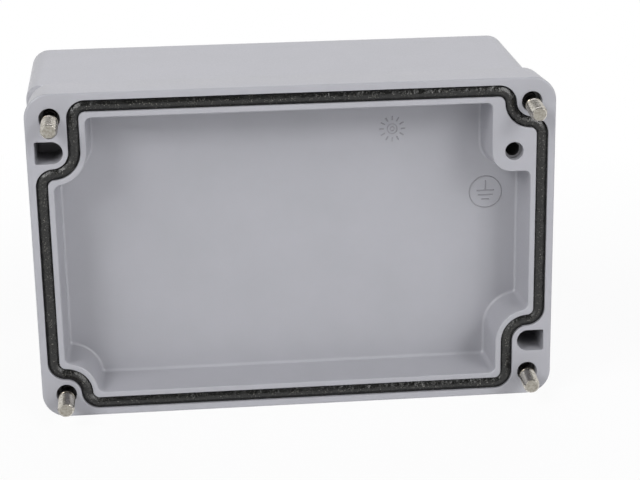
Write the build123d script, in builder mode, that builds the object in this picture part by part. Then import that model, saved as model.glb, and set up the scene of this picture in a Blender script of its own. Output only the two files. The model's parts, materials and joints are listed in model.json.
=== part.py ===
from build123d import *
import os
from math import atan2, degrees, sqrt

os.makedirs("parts", exist_ok=True)

# A die cast aluminium box, taken apart. The lid stands on its long side with its inside
# towards -Y, and the base stands on its long side behind it, opening towards +Y.
# Both castings are drawn on planes that face -Y, so their x is X and their y is Z.

# Overall sizes of the two castings
box_length = 125.0
box_width = 80.0
lid_height = 15.0
base_height = 42.0
lid_corner_radius = 5.85
base_corner_radius = 4.6
lid_draft = 1.1
base_draft = 1.65
lid_rim_chamfer = 0.3
back_edge_chamfer = 1.3
base_shift = -1.65  # how far the base stands to the left of the lid

# Seal: a groove in the lid, and a tongue on the base that presses into its gasket
land_width = 1.75
groove_width = 2.8
groove_depth = 3.0
lip_width = 1.4
bend_radius = 3.0  # turns of the seal's centre line at the sides
gasket_side_gap = 0.05
gasket_drop = 0.1  # crown of the gasket below the rim
tongue_width = 1.4
tongue_height = 1.2

# Lid screws, in the corners outside the seal
screw_inset = 5.85
screw_hole_diameter = 4.9
screw_hole_depth = 3.6
screw_hole_wall = 1.15  # metal between the hole and the groove
screw_web_thickness = 2.5
screw_web_bore = 3.4
head_well_diameter = 8.8
thread_diameter = 3.9
thread_length = 7.1
thread_chamfer = 0.4
waist_diameter = 2.9
head_diameter = 7.0
head_height = 2.6
head_gap = 0.4  # under the head, as the screw hangs
drive_width = 1.1
drive_length = 4.4
drive_depth = 1.5
screw_protrusion = 9.5
# Where each tip hangs, from its hole's axis, to the right and down
screw_leans = {
    "upper_left": (0.39, -0.86),
    "upper_right": (-0.27, -1.1),
    "lower_left": (0.26, -0.34),
    "lower_right": (-0.75, -0.2),
}

# Cored pockets in the lid, over the base's wall fixings
fixing_step = 8.15  # from the lid screw beside it, along the short side
pocket_width = 5.3
pocket_wall = 1.2
pocket_side_wall = 1.95
pocket_corner_radius = 0.4

# Lid cavity and its earth boss
cavity_corner_radius = 1.6
lid_floor_thickness = 2.4
lid_cavity_draft = 2.5
lid_floor_chamfer = 0.7
earth_boss_length = 9.3
earth_boss_width = 16.85
earth_boss_radius = 4.7
earth_boss_foot_radius = 1.4  # where it meets the cavity's walls
earth_hole_inset_x = 9.95
earth_hole_inset_y = 17.8
earth_mouth_diameter = 4.4
earth_mouth_depth = 2.5
earth_thread_bore = 3.3
earth_thread_depth = 8.0

# Base
base_lip_width = 0.4  # flat between the tongue and the cavity
base_floor_thickness = 3.0
base_cavity_corner_radius = 2.2
screw_thread_bore = 3.3
screw_thread_depth = 14.0
fixing_bore = 4.5
fixing_head_well = 7.5
fixing_floor_thickness = 7.0
pillar_diameter = 8.0
pillar_height = 6.0
pillar_inset_x = 20.5
pillar_inset_y = 15.0
pillar_thread_bore = 3.3
pillar_thread_depth = 7.0

# Worked out from the sizes above
seal_inset = land_width + groove_width / 2
screw_x = box_length / 2 - screw_inset
screw_y = box_width / 2 - screw_inset
fixing_offset = screw_y - fixing_step
screw_column = screw_hole_diameter / 2 + screw_hole_wall + groove_width / 2
pocket_column = pocket_width / 2 + pocket_wall + groove_width / 2
lid_cavity_inset = groove_width / 2 + lip_width
lid_cavity_depth = lid_height - lid_floor_thickness
earth_hole = (box_length / 2 - earth_hole_inset_x, box_width / 2 - earth_hole_inset_y)
head_seat = screw_hole_depth + screw_web_thickness
base_cavity_inset = tongue_width / 2 + base_lip_width
base_cavity_depth = base_height - base_floor_thickness
pillar_spacing_x = box_length - 2 * pillar_inset_x
pillar_spacing_y = box_width - 2 * pillar_inset_y
depth_behind_rim = lid_height + base_height + tongue_height
rim_y = -(depth_behind_rim - screw_protrusion) / 2
lid_x = -base_shift / 2

lid_rim = Plane(origin=(lid_x, rim_y, box_width / 2), x_dir=(1, 0, 0), z_dir=(0, -1, 0))
base_rim = Plane(
    origin=(lid_x + base_shift, rim_y + lid_height + base_height, box_width / 2),
    x_dir=(1, 0, 0),
    z_dir=(0, -1, 0),
)
screw_places = {
    "upper_left": (-screw_x, screw_y),
    "upper_right": (screw_x, screw_y),
    "lower_left": (-screw_x, -screw_y),
    "lower_right": (screw_x, -screw_y),
}
fixing_places = [(-screw_x, fixing_offset), (screw_x, -fixing_offset)]


def tangent_arc(centre, radius, start, end):
    """An arc about centre, from the angle of one point to the angle of another, seen from there."""
    angles = [degrees(atan2(y - centre[1], x - centre[0])) for x, y in (start, end)]
    sweep = (angles[1] - angles[0] + 180) % 360 - 180
    CenterArc(centre, radius, angles[0], sweep)


def seal_outline(inset, bend):
    """The area inside the seal's centre line moved inwards by inset, with its bends rounded.

    The line passes two opposite screws closely. At the other two it also goes round the wall
    fixing. Half of it is drawn, and the other half is the same, half a turn on.
    """
    side, top = box_length / 2 - seal_inset - inset, box_width / 2 - seal_inset - inset
    screw_radius, fixing_radius = screw_column + inset, pocket_column + inset
    screw, fixing = (screw_x, screw_y), (screw_x, -fixing_offset)

    def along(radius, offset):
        return sqrt((radius + bend) ** 2 - (offset + bend) ** 2)

    top_bend = (screw_x - along(screw_radius, screw_y - top), top - bend)
    side_bend = (side - bend, screw_y - along(screw_radius, screw_x - side))
    fixing_bend = (side - bend, along(fixing_radius, screw_x - side) - fixing_offset)
    foot_bend = (screw_x - fixing_radius - bend, bend - top)
    with BuildLine() as half:
        Line((-foot_bend[0], top), (top_bend[0], top))
        tangent_arc(top_bend, bend, (top_bend[0], top), screw)
        tangent_arc(screw, screw_radius, top_bend, side_bend)
        tangent_arc(side_bend, bend, screw, (side, side_bend[1]))
        Line((side, side_bend[1]), (side, fixing_bend[1]))
        tangent_arc(fixing_bend, bend, (side, fixing_bend[1]), fixing)
        tangent_arc(fixing, fixing_radius, fixing_bend, (0, -fixing_offset))
        Line((screw_x - fixing_radius, -fixing_offset), (screw_x - fixing_radius, foot_bend[1]))
        tangent_arc(foot_bend, bend, (side, foot_bend[1]), (foot_bend[0], -top))
    with BuildSketch() as outline:
        with BuildLine():
            add(half.line)
            add(half.line.rotate(Axis.Z, 180))
        make_face()
    return outline.sketch


def earth_boss_outline():
    """The boss in the upper right corner: it runs on under the rim, with one round corner."""
    left = box_length / 2 - seal_inset - lid_cavity_inset - earth_boss_length
    bottom = box_width / 2 - seal_inset - lid_cavity_inset - earth_boss_width
    with BuildSketch() as outline:
        with Locations((left, bottom)):
            Rectangle(box_length / 2 - left, box_width / 2 - bottom, align=(Align.MIN, Align.MIN))
        fillet(outline.vertices().sort_by(Axis.X)[:2].sort_by(Axis.Y)[0], earth_boss_radius)
    return outline.sketch


def lid_mouth_outline():
    """The lid cavity at the rim: it follows the seal and goes round the earth boss."""
    with BuildSketch() as outline:
        add(seal_outline(lid_cavity_inset, cavity_corner_radius))
        add(earth_boss_outline(), mode=Mode.SUBTRACT)
        corners = outline.vertices(Select.LAST)
        fillet([corners.sort_by(Axis.X)[-1], corners.sort_by(Axis.Y)[-1]], earth_boss_foot_radius)
    return outline.sketch


groove_outside = seal_outline(-groove_width / 2, bend_radius + groove_width / 2)
groove_inside = seal_outline(groove_width / 2, bend_radius - groove_width / 2)
lid_mouth = lid_mouth_outline()

base_mouth = seal_outline(base_cavity_inset, base_cavity_corner_radius)
tongue_outside = seal_outline(-tongue_width / 2, bend_radius + tongue_width / 2)
tongue_inside = seal_outline(tongue_width / 2, bend_radius - tongue_width / 2)
gasket_outside = seal_outline(
    gasket_side_gap - groove_width / 2, bend_radius + groove_width / 2 - gasket_side_gap
)
gasket_inside = seal_outline(
    groove_width / 2 - gasket_side_gap, bend_radius - groove_width / 2 + gasket_side_gap
)


# The lid's cavity, drawn solid: what its core leaves open
with BuildPart() as lid_cavity:
    with BuildSketch(lid_rim):
        add(lid_mouth)
    extrude(amount=-lid_cavity_depth, taper=lid_cavity_draft)
    chamfer(lid_cavity.faces().sort_by(Axis.Y)[-1].edges(), lid_floor_chamfer)

# The lid: a shallow casting with the seal groove in its rim
with BuildPart() as lid:
    with BuildSketch(lid_rim):
        RectangleRounded(box_length, box_width, lid_corner_radius)
    extrude(amount=-lid_height, taper=lid_draft)
    chamfer(lid.faces().sort_by(Axis.Y)[0].edges(), lid_rim_chamfer)
    chamfer(lid.faces().sort_by(Axis.Y)[-1].edges(), back_edge_chamfer)
    add(lid_cavity.part, mode=Mode.SUBTRACT)
    with BuildSketch(lid_rim):
        add(groove_outside)
        add(groove_inside, mode=Mode.SUBTRACT)
    extrude(amount=-groove_depth, mode=Mode.SUBTRACT)
    # Screw corners: a hole from the rim, a thin web, and a deep well for the head
    with BuildSketch(lid_rim):
        with Locations(*screw_places.values()):
            Circle(screw_hole_diameter / 2)
    extrude(amount=-screw_hole_depth, mode=Mode.SUBTRACT)
    with BuildSketch(lid_rim.offset(-screw_hole_depth)):
        with Locations(*screw_places.values()):
            Circle(screw_web_bore / 2)
    extrude(amount=-screw_web_thickness, mode=Mode.SUBTRACT)
    with BuildSketch(lid_rim.offset(-lid_height)):
        with Locations(*screw_places.values()):
            Circle(head_well_diameter / 2)
    extrude(amount=lid_height - head_seat, mode=Mode.SUBTRACT)
    # Cored pockets, flat towards the side and round towards the seal
    with BuildSketch(lid_rim) as pockets:
        for x, y in fixing_places:
            outer_x = box_length / 2 - pocket_side_wall
            side = 1 if x > 0 else -1
            with Locations((x, y)):
                Circle(pocket_width / 2)
            with Locations((side * (screw_x + outer_x) / 2, y)):
                Rectangle(outer_x - screw_x, pocket_width)
        across = pockets.vertices().group_by(Axis.X)
        fillet(across[0] + across[-1], pocket_corner_radius)
    extrude(amount=-lid_cavity_depth, mode=Mode.SUBTRACT)
    # Earth terminal: a threaded blind hole with a wider mouth
    with BuildSketch(lid_rim):
        with Locations(earth_hole):
            Circle(earth_mouth_diameter / 2)
    extrude(amount=-earth_mouth_depth, mode=Mode.SUBTRACT)
    with BuildSketch(lid_rim.offset(-earth_mouth_depth)):
        with Locations(earth_hole):
            Circle(earth_thread_bore / 2)
    extrude(amount=-earth_thread_depth, mode=Mode.SUBTRACT)
lid.part.label = "lid"
export_step(lid.part, "parts/lid.step")

# The gasket: a foam cord poured into the groove, with a round crown just under the rim
with BuildPart() as gasket:
    with BuildSketch(lid_rim.offset(-groove_depth)):
        add(gasket_outside)
        add(gasket_inside, mode=Mode.SUBTRACT)
    extrude(amount=groove_depth - gasket_drop)
gasket.part.label = "gasket"
export_step(gasket.part, "parts/gasket.step")

# The base's cavity, drawn solid
with BuildPart() as base_cavity:
    with BuildSketch(base_rim):
        add(base_mouth)
    extrude(amount=base_cavity_depth)

# The base: a deep casting with a tongue round its rim
with BuildPart() as base:
    with BuildSketch(base_rim):
        RectangleRounded(box_length, box_width, base_corner_radius)
    extrude(amount=base_height, taper=base_draft)
    chamfer(base.faces().sort_by(Axis.Y)[0].edges(), back_edge_chamfer)
    add(base_cavity.part, mode=Mode.SUBTRACT)
    with BuildSketch(base_rim):
        add(tongue_outside)
        add(tongue_inside, mode=Mode.SUBTRACT)
    extrude(amount=-tongue_height)
    # Four pillars for a mounting plate
    with BuildSketch(base_rim.offset(base_cavity_depth - pillar_height)):
        with GridLocations(pillar_spacing_x, pillar_spacing_y, 2, 2):
            Circle(pillar_diameter / 2)
    extrude(amount=pillar_height)
    with BuildSketch(base_rim.offset(base_cavity_depth - pillar_height)):
        with GridLocations(pillar_spacing_x, pillar_spacing_y, 2, 2):
            Circle(pillar_thread_bore / 2)
    extrude(amount=pillar_thread_depth, mode=Mode.SUBTRACT)
    # Threaded holes for the lid screws
    with BuildSketch(base_rim):
        with Locations(*screw_places.values()):
            Circle(screw_thread_bore / 2)
    extrude(amount=screw_thread_depth, mode=Mode.SUBTRACT)
    # Wall fixings: the head goes down a well to the floor of the corner column
    with BuildSketch(base_rim):
        with Locations(*fixing_places):
            Circle(fixing_head_well / 2)
    extrude(amount=base_height - fixing_floor_thickness, mode=Mode.SUBTRACT)
    with BuildSketch(base_rim):
        with Locations(*fixing_places):
            Circle(fixing_bore / 2)
    extrude(amount=base_height, mode=Mode.SUBTRACT)
base.part.label = "base"
export_step(base.part, "parts/base.step")

# Lid screws: a cheese head, a thin waist that lets them slide, and a thread at the tip.
# Each one hangs a little askew, turning about the middle of its web.
for name, (x, y) in screw_places.items():
    web_depth = screw_hole_depth + screw_web_thickness / 2
    lean_x, lean_y = screw_leans[name]
    pivot = lid_rim.from_local_coords((x, y, -web_depth))
    tip = lid_rim.from_local_coords((x + lean_x, y + lean_y, screw_protrusion))
    axis = Plane(origin=pivot, x_dir=(1, 0, 0), z_dir=tip - pivot)
    tip_height = screw_protrusion + web_depth
    head_plane = axis.offset(-head_gap - screw_web_thickness / 2)
    with BuildPart() as screw:
        with BuildSketch(head_plane):
            Circle(head_diameter / 2)
        extrude(amount=-head_height)
        with BuildSketch(head_plane.offset(-head_height)):
            Rectangle(drive_length, drive_width)
        extrude(amount=drive_depth, mode=Mode.SUBTRACT)
        with BuildSketch(head_plane):
            Circle(waist_diameter / 2)
        extrude(amount=head_gap + screw_web_thickness / 2 + tip_height - thread_length)
        with BuildSketch(axis.offset(tip_height - thread_length)):
            Circle(thread_diameter / 2)
        extrude(amount=thread_length)
        chamfer(screw.edges().sort_by(Axis.Y)[0], thread_chamfer)
    screw.part.label = f"lid_screw_{name}"
    export_step(screw.part, f"parts/lid_screw_{name}.step")
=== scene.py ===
import json
import math
import bmesh
import bpy
from mathutils import Matrix, Vector


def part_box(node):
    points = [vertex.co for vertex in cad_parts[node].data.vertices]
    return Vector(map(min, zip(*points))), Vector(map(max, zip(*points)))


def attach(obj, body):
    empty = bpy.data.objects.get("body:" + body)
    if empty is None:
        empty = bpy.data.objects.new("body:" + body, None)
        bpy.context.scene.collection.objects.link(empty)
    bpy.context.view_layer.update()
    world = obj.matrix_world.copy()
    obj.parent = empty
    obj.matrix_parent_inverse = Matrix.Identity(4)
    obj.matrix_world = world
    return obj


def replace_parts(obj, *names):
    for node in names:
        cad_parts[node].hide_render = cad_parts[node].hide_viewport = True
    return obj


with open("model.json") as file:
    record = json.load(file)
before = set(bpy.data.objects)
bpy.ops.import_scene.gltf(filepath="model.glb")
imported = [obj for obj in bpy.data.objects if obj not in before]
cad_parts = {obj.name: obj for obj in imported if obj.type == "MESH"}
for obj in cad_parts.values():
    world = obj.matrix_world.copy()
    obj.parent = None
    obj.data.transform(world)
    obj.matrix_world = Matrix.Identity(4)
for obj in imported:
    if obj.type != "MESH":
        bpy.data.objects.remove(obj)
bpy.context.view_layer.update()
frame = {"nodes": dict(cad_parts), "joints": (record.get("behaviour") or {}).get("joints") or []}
print("frame loaded,", len(frame["nodes"]), "nodes")

# Lengths are in metres, apart from those in the dictionaries of the two castings, which are in mm.
mmPerMetre = 1000
samePlace = 1e-6  # points nearer to each other than this are one
facing = 0.9  # a face lies across a direction when this share of its normal is along it
white = (1, 1, 1)

# Places on the lid are measured from the middle of its rim, which comes from its own box.
lidLow, lidHigh = [Vector(corner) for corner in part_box("lid")]
rimMiddle = Vector(((lidLow.x + lidHigh.x) / 2, lidLow.y, (lidLow.z + lidHigh.z) / 2))
towardsViewer = Matrix(((1, 0, 0), (0, 0, -1), (0, 1, 0))).to_4x4()  # x stays, y goes up, z to the viewer
screwAcross, screwUp = 0.05665, 0.03415
screwCorners = {
    "lid_screw_upper_left": (-1, 1),
    "lid_screw_upper_right": (1, 1),
    "lid_screw_lower_left": (-1, -1),
    "lid_screw_lower_right": (1, -1),
}


def onLid(across, up, behind):
    return rimMiddle + Vector((across, behind, up))


# Node helpers


def link(tree, source, target):
    tree.links.new(source, target)


def addNode(tree, kind, settings=None, inputs=None):
    node = tree.nodes.new(kind)
    for name, value in (settings or {}).items():
        setattr(node, name, value)
    for name, value in (inputs or {}).items():
        node.inputs[name].default_value = value
    return node


def startGroup(name, inputs, outputs):
    tree = bpy.data.node_groups.new(name, "ShaderNodeTree")
    for socketName, value in inputs.items():
        socket = tree.interface.new_socket(socketName, in_out="INPUT", socket_type="NodeSocketFloat")
        socket.default_value = value
    for socketName in outputs:
        tree.interface.new_socket(socketName, in_out="OUTPUT", socket_type="NodeSocketFloat")
    return tree, tree.nodes.new("NodeGroupInput"), tree.nodes.new("NodeGroupOutput")


def startMaterial(name, metallic):
    material = bpy.data.materials.new(name)
    material.use_nodes = True
    tree = material.node_tree
    shader = tree.nodes["Principled BSDF"]
    shader.inputs["Metallic"].default_value = metallic
    return material, tree, shader


def combine(tree, operation, first, second):
    node = addNode(tree, "ShaderNodeMath", {"operation": operation})
    link(tree, first, node.inputs[0])
    link(tree, second, node.inputs[1])
    return node.outputs[0]


def blendColours(tree, mask, first, second):
    # Each colour is a tuple or another node's output
    mix = addNode(tree, "ShaderNodeMix", {"data_type": "RGBA"})
    sockets = {socket.identifier: socket for socket in (*mix.inputs, *mix.outputs)}
    link(tree, mask, sockets["Factor_Float"])
    for socket, colour in ((sockets["A_Color"], first), (sockets["B_Color"], second)):
        if isinstance(colour, tuple):
            socket.default_value = (*colour, 1)
        else:
            link(tree, colour, socket)
    return sockets["Result_Color"]


def stretchValue(tree, value, low, high, toLow, toHigh):
    span = {"From Min": low, "From Max": high, "To Min": toLow, "To Max": toHigh}
    node = addNode(tree, "ShaderNodeMapRange", None, span)
    link(tree, value, node.inputs["Value"])
    return node.outputs["Result"]


def bumpFrom(tree, height, strength, distance, under=None):
    node = addNode(tree, "ShaderNodeBump", None, {"Strength": strength, "Distance": distance})
    link(tree, height, node.inputs["Height"])
    if under is not None:
        link(tree, under, node.inputs["Normal"])
    return node.outputs["Normal"]


def alongY(tree, coordinate):
    # How far a piece's own place or normal goes away from the viewer
    place = tree.nodes.new("ShaderNodeTexCoord")
    parts = tree.nodes.new("ShaderNodeSeparateXYZ")
    link(tree, place.outputs[coordinate], parts.inputs[0])
    return parts.outputs["Y"]


# Grain, which every finish uses

grainLook = {
    "noise": {"Detail": 3, "Roughness": 0.55},
    "scale": 1000,
    "spread": (0.3, 0.7),  # levels of the noise that become 0 and 1
}


def buildGrain(look):
    # Even grain between 0 and 1, on the piece's own coordinates
    low, high = look["spread"]
    inputs = {"Scale": look["scale"], "Low": low, "High": high}
    tree, given, result = startGroup("fineGrain", inputs, ["Grain"])
    place = tree.nodes.new("ShaderNodeTexCoord")
    noise = addNode(tree, "ShaderNodeTexNoise", None, look["noise"])
    spread = tree.nodes.new("ShaderNodeMapRange")
    link(tree, place.outputs["Object"], noise.inputs["Vector"])
    link(tree, given.outputs["Scale"], noise.inputs["Scale"])
    link(tree, noise.outputs["Fac"], spread.inputs["Value"])
    link(tree, given.outputs["Low"], spread.inputs["From Min"])
    link(tree, given.outputs["High"], spread.inputs["From Max"])
    link(tree, spread.outputs["Result"], result.inputs["Grain"])
    return tree


grainGroup = buildGrain(grainLook)


def addGrain(tree, scale, spread=grainLook["spread"]):
    low, high = spread
    inputs = {"Scale": scale, "Low": low, "High": high}
    return addNode(tree, "ShaderNodeGroup", {"node_tree": grainGroup}, inputs).outputs["Grain"]


# Finishes

paintLook = {
    "colour": (0.405, 0.405, 0.438),
    "cloudColour": (0.385, 0.387, 0.416),
    "cloudScale": 70,
    "grainScale": 2400,
    "roughLow": 0.28,
    "roughHigh": 0.4,
    "bump": 0.22,
    "bumpDepth": 0.00003,
}
# Painted shade: paint darkens with depth inside the screw holes and the earth hole
holeShadeLook = {
    "colour": (0.05, 0.048, 0.048),  # painted shade: deep in the holes the paint turns to this dark colour
    "from": 0.001,  # depths behind the rim
    "to": 0.0032,
}
# Painted shade: paint darkens with depth inside the pockets
pocketShadeLook = {
    "colour": (0.2, 0.2, 0.212),
    "from": 0.001,
    "to": 0.011,
}
signShadeLook = {
    "colour": (0.335, 0.335, 0.36),  # painted shade: the signs' fine lines are painted darker than the floor
    "cloudColour": (0.3, 0.3, 0.32),
}


def makePaint(name, look, paintedShade=None):
    material, tree, shader = startMaterial(name, 0)
    clouds = addGrain(tree, look["cloudScale"])
    grain = addGrain(tree, look["grainScale"])
    colour = blendColours(tree, clouds, look["colour"], look["cloudColour"])
    # painted shade: the colour darkens with depth behind the rim
    if paintedShade:
        start, end = rimMiddle.y + paintedShade["from"], rimMiddle.y + paintedShade["to"]
        depth = stretchValue(tree, alongY(tree, "Object"), start, end, 0, 1)
        colour = blendColours(tree, depth, colour, paintedShade["colour"])
    rough = stretchValue(tree, grain, 0, 1, look["roughLow"], look["roughHigh"])
    uneven = bumpFrom(tree, grain, look["bump"], look["bumpDepth"])
    link(tree, colour, shader.inputs["Base Color"])
    link(tree, rough, shader.inputs["Roughness"])
    link(tree, uneven, shader.inputs["Normal"])
    return material


foamLook = {
    "colour": (0.004, 0.004, 0.0036),
    # painted glints: lighter specks, only on faces that point forwards
    "glintSpeckColour": (0.17, 0.165, 0.145),
    "speckScale": 3000,
    "speckSpread": (0.6, 0.68),
    "speckFrom": 0.8,  # how far a face must point forwards before the painted glint specks show on it
    "cellScale": 3600,
    "waveScale": 420,
    "rough": 0.17,
    "specular": 0.5,
    "bump": 0.4,
    "bumpDepth": 0.00005,
    "waveBump": 0.5,
    "waveDepth": 0.0003,
}


def makeFoam(name, look):
    material, tree, shader = startMaterial(name, 0)
    shader.inputs["Roughness"].default_value = look["rough"]
    shader.inputs["Specular IOR Level"].default_value = look["specular"]
    specks = addGrain(tree, look["speckScale"], look["speckSpread"])
    cells = addGrain(tree, look["cellScale"])
    waves = addGrain(tree, look["waveScale"])
    # painted glints: the lighter specks show only where the crown faces forwards
    crown = stretchValue(tree, alongY(tree, "Normal"), -look["speckFrom"], -1, 0, 1)
    paintedGlints = combine(tree, "MULTIPLY", specks, crown)
    colour = blendColours(tree, paintedGlints, look["colour"], look["glintSpeckColour"])
    wavy = bumpFrom(tree, waves, look["waveBump"], look["waveDepth"])
    uneven = bumpFrom(tree, cells, look["bump"], look["bumpDepth"], wavy)
    link(tree, colour, shader.inputs["Base Color"])
    link(tree, uneven, shader.inputs["Normal"])
    return material


steelLook = {
    "colour": (0.6, 0.575, 0.525),
    "dullColour": (0.42, 0.395, 0.35),
    "scale": 1600,
    "spread": (0.4, 0.65),
    "roughLow": 0.1,
    "roughHigh": 0.18,
    "bump": 0.25,
    "bumpDepth": 0.00001,
}
cutLook = {
    "colour": (0.4, 0.38, 0.335),  # the tip's sawn end
    "dullColour": (0.28, 0.26, 0.225),
    "roughLow": 0.4,
    "roughHigh": 0.5,
    "bump": 0.3,
}


def makeSteel(name, look):
    material, tree, shader = startMaterial(name, 1)
    marks = addGrain(tree, look["scale"], look["spread"])
    colour = blendColours(tree, marks, look["colour"], look["dullColour"])
    rough = stretchValue(tree, marks, 0, 1, look["roughLow"], look["roughHigh"])
    uneven = bumpFrom(tree, marks, look["bump"], look["bumpDepth"])
    link(tree, colour, shader.inputs["Base Color"])
    link(tree, rough, shader.inputs["Roughness"])
    link(tree, uneven, shader.inputs["Normal"])
    return material


paint = makePaint("greyPaint", paintLook)
holeShadePaint = makePaint("greyPaintWithPaintedShadeInHoles", paintLook, holeShadeLook)
pocketShadePaint = makePaint("greyPaintWithPaintedShadeInPockets", paintLook, pocketShadeLook)
signShadedPaint = makePaint("greyPaintWithPaintedShadeOnSigns", {**paintLook, **signShadeLook})
foam = makeFoam("blackFoam", foamLook)
steel = makeSteel("screwSteel", steelLook)
cutSteel = makeSteel("screwSteelCut", {**steelLook, **cutLook})
print("finishes made")

# Pieces


def finishPiece(name, bm, materials, body, sharpAngle=35):
    bmesh.ops.recalc_face_normals(bm, faces=bm.faces)
    mesh = bpy.data.meshes.new(name)
    bm.to_mesh(mesh)
    bm.free()
    for material in materials:
        mesh.materials.append(material)
    mesh.shade_smooth()
    mesh.set_sharp_from_angle(angle=math.radians(sharpAngle))
    piece = bpy.data.objects.new(name, mesh)
    bpy.context.collection.objects.link(piece)
    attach(piece, body)
    return piece


def nodeCopy(name, joinAngle=None):
    # A node's mesh with its triangles merged, and made one face where they meet flatter than joinAngle
    bm = bmesh.new()
    bm.from_mesh(frame["nodes"][name].data)
    bmesh.ops.remove_doubles(bm, verts=bm.verts, dist=samePlace)
    if joinAngle:
        bmesh.ops.dissolve_limit(bm, angle_limit=math.radians(joinAngle), verts=bm.verts, edges=bm.edges)
    return bm


# Castings: each one's own mesh with its edges rounded, as a casting has them under paint.
# A group of edges is found by its depth behind the casting's lowest y and by its angle.

lidLook = {
    "joinAngle": 0.4,  # degrees, as all angles here
    "floorDepth": 12.6,
    "wallEnd": 11.85,  # the node's cavity walls end just behind this depth
    "footRadius": 0.75,
    "footSteps": 6,
    "lipWidths": (100, 118),  # the loops on both sides of the lip are between these widths
    "lipRound": 0.3,
    "lipSteps": 3,
    "rounds": [
        # from and to depth, least and most angle, size, steps
        (-0.01, 0.01, 40, 50, 0.2, 2),  # outer edge of the rim
        (0.29, 0.31, 40, 50, 0.2, 2),
        (-0.01, 0.01, 80, 100, 0.1, 2),  # groove, holes and pockets
        (2.49, 2.51, 80, 100, 0.12, 2),  # step in the earth hole
        (13.69, 13.71, 40, 50, 0.55, 3),  # back edges
        (14.8, 15.01, 40, 140, 0.2, 2),  # back edges and head wells
    ],
    "shadeStart": 0.1,  # faces nearer to the rim than this keep the plain paint, without the painted shade
    "wells": [
        # place of the finish with painted shade in castingFinishes, across, up, half width, half height
        *(
            (1, side * screwAcross * mmPerMetre, level * screwUp * mmPerMetre, 2.6, 2.6)
            for side, level in screwCorners.values()
        ),
        (1, 52.55, 22.2, 2.4, 2.4),  # earth hole
        (2, -57.3, 26.0, 3.4, 2.8),  # pockets, with painted shade
        (2, 57.3, -26.0, 3.4, 2.8),
    ],
}
baseLook = {
    "joinAngle": 0.4,
    "rounds": [
        (-0.01, 0.01, 40, 50, 0.55, 3),  # back edges
        (1.25, 1.35, 40, 55, 0.55, 3),
        (-0.01, 0.01, 80, 100, 0.25, 2),  # wall fixings
        (2.95, 3.05, 80, 100, 0.5, 3),  # foot of the cavity's walls and the pillars
        (8.95, 9.05, 80, 100, 0.25, 2),  # pillars
        (41.95, 42.05, 80, 100, 0.12, 2),  # rim
        (43.15, 43.25, 80, 100, 0.15, 2),  # tongue
    ],
}
# plain paint, paint with painted shade in holes, paint with painted shade in pockets
castingFinishes = [paint, holeShadePaint, pocketShadePaint]


def splitLoops(edges):
    # Edges that touch each other, in one list for each loop
    waiting, loops = dict.fromkeys(edges), []
    for first in edges:
        if first not in waiting:
            continue
        del waiting[first]
        loop = [first]
        for edge in loop:
            for other in [other for vert in edge.verts for other in vert.link_edges if other in waiting]:
                del waiting[other]
                loop.append(other)
        loops.append(loop)
    return loops


def findEdges(bm, zeroY, low, high, least, most):
    return [
        edge
        for edge in bm.edges
        if all(low <= (vert.co.y - zeroY) * mmPerMetre <= high for vert in edge.verts)
        and math.radians(least) < edge.calc_face_angle(0) < math.radians(most)
    ]


def roundEdges(bm, edges, size, steps):
    bmesh.ops.bevel(
        bm, geom=edges, offset=size / mmPerMetre, segments=steps, profile=0.5, affect="EDGES", material=-1,
        clamp_overlap=False,
    )


def cutFloor(bm, look, zeroY):
    # The cavity's floor and the node's own foot go, and one flat face fills the opening
    wallEnd = zeroY + look["wallEnd"] / mmPerMetre
    middle = Vector((rimMiddle.x, zeroY + look["floorDepth"] / mmPerMetre, rimMiddle.z))
    deep = {face for face in bm.faces if all(vert.co.y > wallEnd for vert in face.verts)}
    forwards = [face for face in deep if face.normal.y < -facing]
    floor = [min(forwards, key=lambda face: (face.calc_center_median() - middle).length)]
    for face in floor:
        for near in [near for edge in face.edges for near in edge.link_faces]:
            if near in deep and near not in floor:
                floor.append(near)
    bmesh.ops.delete(bm, geom=floor, context="FACES")
    ring = [edge for edge in bm.edges if edge.is_boundary]
    bmesh.ops.holes_fill(bm, edges=ring, sides=0)
    return max(ring[0].link_faces, key=lambda face: len(face.verts))


def roundFoot(bm, look, zeroY):
    # The cavity's floor again, with a round foot to its walls
    floorFace = cutFloor(bm, look, zeroY)
    radius, steps = look["footRadius"], look["footSteps"]
    footStart = look["floorDepth"] - radius
    for vert in floorFace.verts:
        vert.co.y = zeroY + footStart / mmPerMetre
    across = 0
    for step in range(1, steps + 1):
        angle = math.pi / 2 * step / steps
        reach = radius * (1 - math.cos(angle))
        bmesh.ops.inset_region(
            bm, faces=[floorFace], thickness=(reach - across) / mmPerMetre, use_even_offset=True
        )
        across = reach
        for vert in floorFace.verts:
            vert.co.y = zeroY + (footStart + radius * math.sin(angle)) / mmPerMetre


def roundLip(bm, look, zeroY):
    least, most = look["lipWidths"]
    for loop in splitLoops(findEdges(bm, zeroY, -0.01, 0.01, 80, 100)):
        places = [vert.co.x * mmPerMetre for edge in loop for vert in edge.verts]
        if least < max(places) - min(places) < most:
            roundEdges(bm, loop, look["lipRound"], look["lipSteps"])


# Faces inside the holes and pockets get the paint with painted shade
def paintShadeInWells(bm, look):
    for finish, across, up, halfWidth, halfHeight in look["wells"]:
        middle = onLid(across / mmPerMetre, up / mmPerMetre, 0)
        for face in bm.faces:
            away = (face.calc_center_median() - middle) * mmPerMetre
            if abs(away.x) < halfWidth and abs(away.z) < halfHeight and away.y > look["shadeStart"]:
                face.material_index = finish


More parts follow.
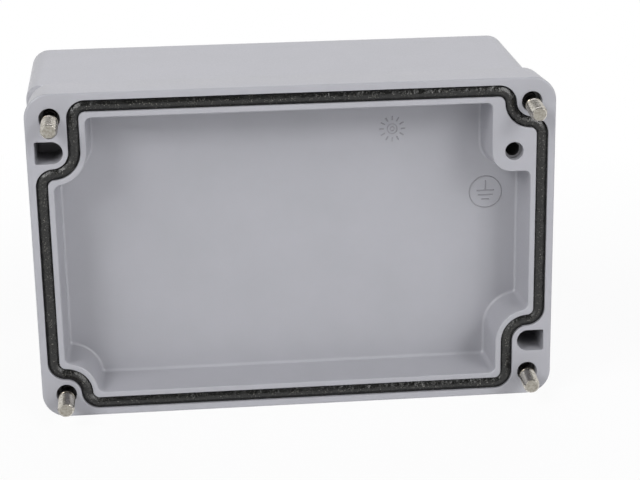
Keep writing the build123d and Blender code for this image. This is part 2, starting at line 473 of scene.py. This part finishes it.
def roundCasting(name, pieceName, look, zeroY):
    bm = nodeCopy(name, look["joinAngle"])
    if name == "lid":
        roundFoot(bm, look, zeroY)
        roundLip(bm, look, zeroY)
    for low, high, least, most, size, steps in look["rounds"]:
        edges = findEdges(bm, zeroY, low, high, least, most)
        roundEdges(bm, edges, size, steps)
        print("  ", name, "edges rounded from", low, "to", high, "mm:", len(edges))
    openEdges = sum(not edge.is_manifold for edge in bm.edges)
    print("  ", name, "has", len(bm.faces), "faces,", openEdges, "open edges")
    if name == "lid":
        paintShadeInWells(bm, look)
    piece = finishPiece(pieceName, bm, castingFinishes, "box")
    weighted = piece.modifiers.new("evenNormals", "WEIGHTED_NORMAL")  # flat faces go on looking flat
    weighted.keep_sharp = True
    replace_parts(piece, name)


roundCasting("lid", "lidCasting", lidLook, lidLow.y)
roundCasting("base", "baseCasting", baseLook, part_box("base")[0][1])
print("castings made")

# Gasket: the node's band with a crown like a soft roof

gasketLook = {
    "joinAngle": 1,
    "steepBelow": 0.5,  # a side face has less than this share of its normal along y
    "crownWidth": 0.0013,
    "crownSteps": 8,
    "crownHeight": 0.0006,
    "crownSoftness": 0.22,  # how round the ridge is, 0 is a sharp roof
    "crownEnd": 1.001,  # share of the crown's width, a little over 1 to take in its lowest points
    "sharpAngle": 60,
}


def makeGasket(look):
    bm = nodeCopy("gasket", look["joinAngle"])
    top = min(vert.co.y for vert in bm.verts)
    crownEdges = [
        edge
        for edge in bm.edges
        if all(abs(vert.co.y - top) < samePlace for vert in edge.verts)
        and any(abs(face.normal.y) < look["steepBelow"] for face in edge.link_faces)
    ]
    bmesh.ops.bevel(
        bm, geom=crownEdges, offset=look["crownWidth"], segments=look["crownSteps"], profile=0.5,
        affect="EDGES", material=-1,
    )
    soft = look["crownSoftness"]
    for vert in bm.verts:
        fall = (vert.co.y - top) / look["crownWidth"]
        if fall < look["crownEnd"]:
            out = math.sqrt(max(0, 1 - (1 - fall) ** 2))  # from the ridge, 0, to the side, 1
            drop = (math.hypot(out, soft) - soft) / (math.hypot(1, soft) - soft)
            vert.co.y = top + look["crownHeight"] * drop
    return finishPiece("gasketFoam", bm, [foam], "box", look["sharpAngle"])


gasket = makeGasket(gasketLook)
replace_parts(gasket, "gasket")
print("gasket made")

# Lid screws: a real thread on each, in place of the node's plain end

screwLook = {
    "webDepth": 0.00485,  # middle of the web, behind the rim
    "tipAhead": 0.01435,  # tip, from the middle of the web
    "threadLength": 0.0071,
    "pitch": 0.0007,
    "spareTurns": 2,  # made past the ends of the thread and cut off
    "crest": 0.002,
    "root": 0.00167,
    "rootFlat": 0.18,  # share of the pitch
    "crestFlat": 0.12,
    "tipChamfer": 0.0005,
    "tipSlope": 0.75,
    "steps": 36,
    "overlap": 0.00005,  # how far the node's stem goes into the thread
    "cutReach": 0.0019,  # end faces within this of the tip's middle look sawn
    "sharpAngle": 40,
}


def cutAway(bm, place, direction):
    # Takes off what lies past a place along a direction
    bmesh.ops.bisect_plane(
        bm, geom=bm.verts[:] + bm.edges[:] + bm.faces[:], plane_co=place, plane_no=direction, clear_outer=True
    )


def makeThread(look):
    # Along +z, with the tip's end at tipAhead
    bm = bmesh.new()
    start, end, pitch = look["tipAhead"] - look["threadLength"], look["tipAhead"], look["pitch"]
    ramp = (1 - look["rootFlat"] - look["crestFlat"]) / 2
    turn = [
        (look["root"], 0),
        (look["root"], look["rootFlat"]),
        (look["crest"], look["rootFlat"] + ramp),
        (look["crest"], look["rootFlat"] + ramp + look["crestFlat"]),
    ]
    turns = math.ceil(look["threadLength"] / pitch) + look["spareTurns"]
    lowest = start - look["spareTurns"] * pitch
    verts = [
        bm.verts.new((radius, 0, lowest + (count + share) * pitch))
        for count in range(turns)
        for radius, share in turn
    ]
    edges = [bm.edges.new(pair) for pair in zip(verts, verts[1:])]
    bmesh.ops.spin(
        bm, geom=verts + edges, cent=(0, 0, 0), axis=(0, 0, 1), dvec=(0, 0, pitch / look["steps"]),
        angle=math.tau, steps=look["steps"],
    )
    bmesh.ops.remove_doubles(bm, verts=bm.verts, dist=samePlace)
    for z, outwards in ((start, -1), (end, 1)):
        cutAway(bm, (0, 0, z), (0, 0, outwards))
        atEnd = {vert for vert in bm.verts if abs(vert.co.z - z) < samePlace}
        ring = [edge for edge in bm.edges if edge.is_boundary and atEnd.issuperset(edge.verts)]
        bmesh.ops.holes_fill(bm, edges=ring, sides=0)
    for vert in bm.verts:
        radius = vert.co.xy.length
        fromEnd = min(end - vert.co.z, vert.co.z - start)
        limit = look["crest"] - look["tipChamfer"] + fromEnd * look["tipSlope"]
        if radius > limit:
            vert.co.xy *= limit / radius
    return bm


def makeScrew(name, look):
    side, level = screwCorners[name]
    pivot = onLid(side * screwAcross, level * screwUp, look["webDepth"])
    joint = next(joint for joint in frame["joints"] if joint["child"] == name)
    forwards = -Vector(joint["axis"]).normalized()
    bm = nodeCopy(name)
    stemEnd = look["tipAhead"] - look["threadLength"] + look["overlap"]
    cutAway(bm, pivot + forwards * stemEnd, forwards)
    bmesh.ops.holes_fill(bm, edges=[edge for edge in bm.edges if edge.is_boundary], sides=0)
    thread = makeThread(look)
    turned = forwards.to_track_quat("Z", "Y").to_matrix().to_4x4()
    bmesh.ops.transform(thread, matrix=Matrix.Translation(pivot) @ turned, verts=thread.verts)
    threadMesh = bpy.data.meshes.new(name + "_thread")
    thread.to_mesh(threadMesh)
    thread.free()
    bm.from_mesh(threadMesh)
    bpy.data.meshes.remove(threadMesh)
    tip = pivot + forwards * look["tipAhead"]
    for face in bm.faces:
        atTip = (face.calc_center_median() - tip).length < look["cutReach"]
        face.material_index = int(atTip and abs(face.normal.dot(forwards)) > facing)
    return finishPiece(name + "_steel", bm, [steel, cutSteel], name, look["sharpAngle"])


for nodeName in screwCorners:
    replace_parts(makeScrew(nodeName, screwLook), nodeName)
print("screws made")

# Signs cast into the lid's floor: an earth sign and a plain date dial

signShape = {
    "ringSides": 10,  # of a ring's round section
    "barRound": 0.4,  # share of a bar's width
    "barSteps": 2,
}
earthLook = {
    "across": 0.048,
    "up": 0.009,
    "radius": 0.004,
    "ringSteps": 64,
    "line": 0.0003,
    "height": 0.0002,
    "stem": (0.00035, 0.0029),  # from and to, up from the middle
    "bars": ((0.00035, 0.0044), (-0.00075, 0.0037), (-0.00185, 0.0019)),  # level and length
}
dialLook = {
    "across": 0.0249,
    "up": 0.0258,
    "rings": (0.0005, 0.0012),
    "ringSteps": 40,
    "ringLine": 0.00024,
    "rays": 12,
    "rayFrom": 0.0021,
    "rayTo": 0.0032,
    "line": 0.00038,
    "height": 0.00014,
}


def addRing(bm, radius, line, height, steps):
    made = bmesh.ops.create_circle(bm, segments=signShape["ringSides"], radius=line / 2)["verts"]
    bmesh.ops.rotate(bm, verts=made, cent=(0, 0, 0), matrix=Matrix.Rotation(math.pi / 2, 3, "X"))
    bmesh.ops.scale(bm, verts=made, vec=(1, 1, 2 * height / line))
    bmesh.ops.translate(bm, verts=made, vec=(radius, 0, 0))
    edges = list({edge for vert in made for edge in vert.link_edges})
    bmesh.ops.spin(
        bm, geom=made + edges, cent=(0, 0, 0), axis=(0, 0, 1), angle=math.tau, steps=steps, use_merge=True
    )


def connected(start):
    found, waiting = {start}, [start]
    while waiting:
        for edge in waiting.pop().link_edges:
            for vert in edge.verts:
                if vert not in found:
                    found.add(vert)
                    waiting.append(vert)
    return found


def addBar(bm, x, y, length, line, height, angle=0):
    made = bmesh.ops.create_cube(bm, size=1)["verts"]
    bmesh.ops.scale(bm, verts=made, vec=(length, line, 2 * height))
    edges = list({edge for vert in made for edge in vert.link_edges})
    top = [edge for edge in edges if all(vert.co.z > 0 for vert in edge.verts)]
    made = bmesh.ops.bevel(
        bm, geom=top, offset=line * signShape["barRound"], segments=signShape["barSteps"], profile=0.5,
        affect="EDGES", material=-1,
    )["verts"]
    whole = list({vert for start in made for vert in connected(start)})
    bmesh.ops.rotate(bm, verts=whole, cent=(0, 0, 0), matrix=Matrix.Rotation(angle, 3, "Z"))
    bmesh.ops.translate(bm, verts=whole, vec=(x, y, 0))


def layOnFloor(name, bm, look):
    # A sign is drawn flat round its own middle, then goes to its place on the lid's floor
    middle = onLid(look["across"], look["up"], lidLook["floorDepth"] / mmPerMetre)
    bmesh.ops.transform(bm, matrix=Matrix.Translation(middle) @ towardsViewer, verts=bm.verts)
    finishPiece(name, bm, [signShadedPaint], "box")


def makeEarthSign(look):
    bm = bmesh.new()
    addRing(bm, look["radius"], look["line"], look["height"], look["ringSteps"])
    low, high = look["stem"]
    addBar(bm, 0, (low + high) / 2, high - low, look["line"], look["height"], math.pi / 2)
    for level, length in look["bars"]:
        addBar(bm, 0, level, length, look["line"], look["height"])
    layOnFloor("earthSign", bm, look)


def makeDial(look):
    bm = bmesh.new()
    for radius in look["rings"]:
        addRing(bm, radius, look["ringLine"], look["height"], look["ringSteps"])
    middle, length = (look["rayFrom"] + look["rayTo"]) / 2, look["rayTo"] - look["rayFrom"]
    for count in range(look["rays"]):
        angle = math.tau * count / look["rays"]
        x, y = middle * math.cos(angle), middle * math.sin(angle)
        addBar(bm, x, y, length, look["line"], look["height"], angle)
    layOnFloor("dateDial", bm, look)


makeEarthSign(earthLook)
makeDial(dialLook)
print("floor signs made")

# Stage, lights and camera

stageLook = {
    "size": 8,
    "colour": (0.86, 0.86, 0.87),
    "rough": 1,
    "whiteNear": 0.93,  # share of plain white in what the camera sees of the floor, near the object
    "nearReach": 0.1,
    "farReach": 0.26,  # from here on it is all white
}
worldLook = {
    "colour": (0.98, 0.985, 1.0),
    "strength": 0.05,
    "glowSide": (0, -0.5, 1),  # reflections show the least of the white backdrop along this
    "glowTop": 0.6,  # up to here along it they show all of the backdrop
    "darkFrom": 0.85,  # and from here on this share
    "darkShare": 0.06,
}


def backdropRays(tree, glossyShare=None):
    # 1 for the rays that show plain white: the camera's own, reflections and those through glass
    rays = tree.nodes.new("ShaderNodeLightPath").outputs
    glossy = rays["Is Glossy Ray"]
    if glossyShare is not None:
        glossy = combine(tree, "MULTIPLY", glossy, glossyShare)
    seen = combine(tree, "MAXIMUM", rays["Is Camera Ray"], glossy)
    return combine(tree, "MAXIMUM", seen, rays["Is Transmission Ray"])


def mixShaders(tree, share, first, second, output):
    mix = tree.nodes.new("ShaderNodeMixShader")
    link(tree, share, mix.inputs["Fac"])
    link(tree, first.outputs[0], mix.inputs[1])
    link(tree, second.outputs[0], mix.inputs[2])
    link(tree, mix.outputs[0], tree.nodes[output].inputs["Surface"])


def makeStage(look):
    bm = bmesh.new()
    bmesh.ops.create_grid(bm, x_segments=1, y_segments=1, size=look["size"] / 2)
    mesh = bpy.data.meshes.new("studioFloor")
    bm.to_mesh(mesh)
    bm.free()
    floor = bpy.data.objects.new("studioFloor", mesh)
    bpy.context.collection.objects.link(floor)
    material, tree, paper = startMaterial("studioPaper", 0)
    paper.inputs["Base Color"].default_value = (*look["colour"], 1)
    paper.inputs["Roughness"].default_value = look["rough"]
    plain = addNode(tree, "ShaderNodeEmission", None, {"Color": (*white, 1), "Strength": 1})
    place = tree.nodes.new("ShaderNodeTexCoord")
    away = addNode(tree, "ShaderNodeVectorMath", {"operation": "LENGTH"})
    link(tree, place.outputs["Object"], away.inputs[0])
    distance = away.outputs["Value"]
    whiteness = stretchValue(tree, distance, look["nearReach"], look["farReach"], look["whiteNear"], 1)
    share = combine(tree, "MULTIPLY", backdropRays(tree), whiteness)
    mixShaders(tree, share, paper, plain, "Material Output")
    mesh.materials.append(material)


def makeWorld(look):
    world = bpy.data.worlds.new("studioWorld")
    bpy.context.scene.world = world
    world.use_nodes = True
    tree = world.node_tree
    place = tree.nodes.new("ShaderNodeTexCoord")
    along = addNode(tree, "ShaderNodeVectorMath", {"operation": "DOT_PRODUCT"}, {1: look["glowSide"]})
    link(tree, place.outputs["Generated"], along.inputs[0])
    glow = stretchValue(tree, along.outputs["Value"], look["glowTop"], look["darkFrom"], 1, look["darkShare"])
    soft = tree.nodes["Background"]
    soft.inputs["Color"].default_value = (*look["colour"], 1)
    soft.inputs["Strength"].default_value = look["strength"]
    plain = addNode(tree, "ShaderNodeBackground", None, {"Color": (*white, 1), "Strength": 1})
    mixShaders(tree, backdropRays(tree, glow), soft, plain, "World Output")


lampLooks = [
    {"name": "frontRightSoftbox", "place": (0.8, -0.9, 0.4), "size": 0.8, "power": 4.2},
    {"name": "frontLeftSoftbox", "place": (-0.8, -0.9, 0.4), "size": 0.8, "power": 0.6},
    {"name": "highLeftSoftbox", "place": (-0.7, -0.5, 0.8), "size": 0.5, "power": 4.9},
    {"name": "highRightSoftbox", "place": (0.7, -0.5, 0.8), "size": 0.5, "power": 1.5},
    {"name": "overheadSoftbox", "place": (0, -0.1, 1.0), "size": 0.8, "power": 0.4},
    {"name": "backSoftbox", "place": (0.1, 0.9, 1.0), "size": 0.9, "power": 4.5, "colour": (0.91, 0.9, 1)},
    {"name": "leftStreakBox", "place": (-0.75, -1.0, 0.7), "size": 0.4, "power": 4.0},
    {"name": "rightStreakBox", "place": (0.68, -1.0, 0.75), "size": 0.4, "power": 3.4},
]
lampAim = Vector((0, 0, 0.04))


def addLamp(look):
    light = bpy.data.lights.new(look["name"], "AREA")
    light.size = look["size"]
    light.energy = look["power"]
    light.color = look.get("colour", white)
    lamp = bpy.data.objects.new(look["name"], light)
    bpy.context.collection.objects.link(lamp)
    lamp.location = look["place"]
    lamp.rotation_euler = (lampAim - Vector(look["place"])).to_track_quat("-Z", "Y").to_euler()


cameraLook = {
    "place": (-0.027795, -0.413154, 0.160145),
    "right": (0.99552, -0.09308, -0.01677),
    "forwards": (0.08427, 0.95343, -0.28961),
    "lens": 95.781,
    "sensor": 36,
    "clipStart": 0.01,
    "shiftAcross": -0.0006,
    "shiftUp": 0.00078,
}


def addCamera(look):
    data = bpy.data.cameras.new("photoCamera")
    data.lens = look["lens"]
    data.sensor_width = look["sensor"]
    data.clip_start = look["clipStart"]
    data.shift_x = look["shiftAcross"]
    data.shift_y = look["shiftUp"]
    camera = bpy.data.objects.new("photoCamera", data)
    bpy.context.collection.objects.link(camera)
    backwards = -Vector(look["forwards"]).normalized()
    up = backwards.cross(Vector(look["right"])).normalized()
    right = up.cross(backwards)
    camera.rotation_euler = Matrix((right, up, backwards)).transposed().to_euler()
    camera.location = look["place"]
    bpy.context.scene.camera = camera


makeStage(stageLook)
makeWorld(worldLook)
for lampLook in lampLooks:
    addLamp(lampLook)
addCamera(cameraLook)
bpy.context.scene.view_settings.view_transform = "Standard"
print("stage, lights and camera set")
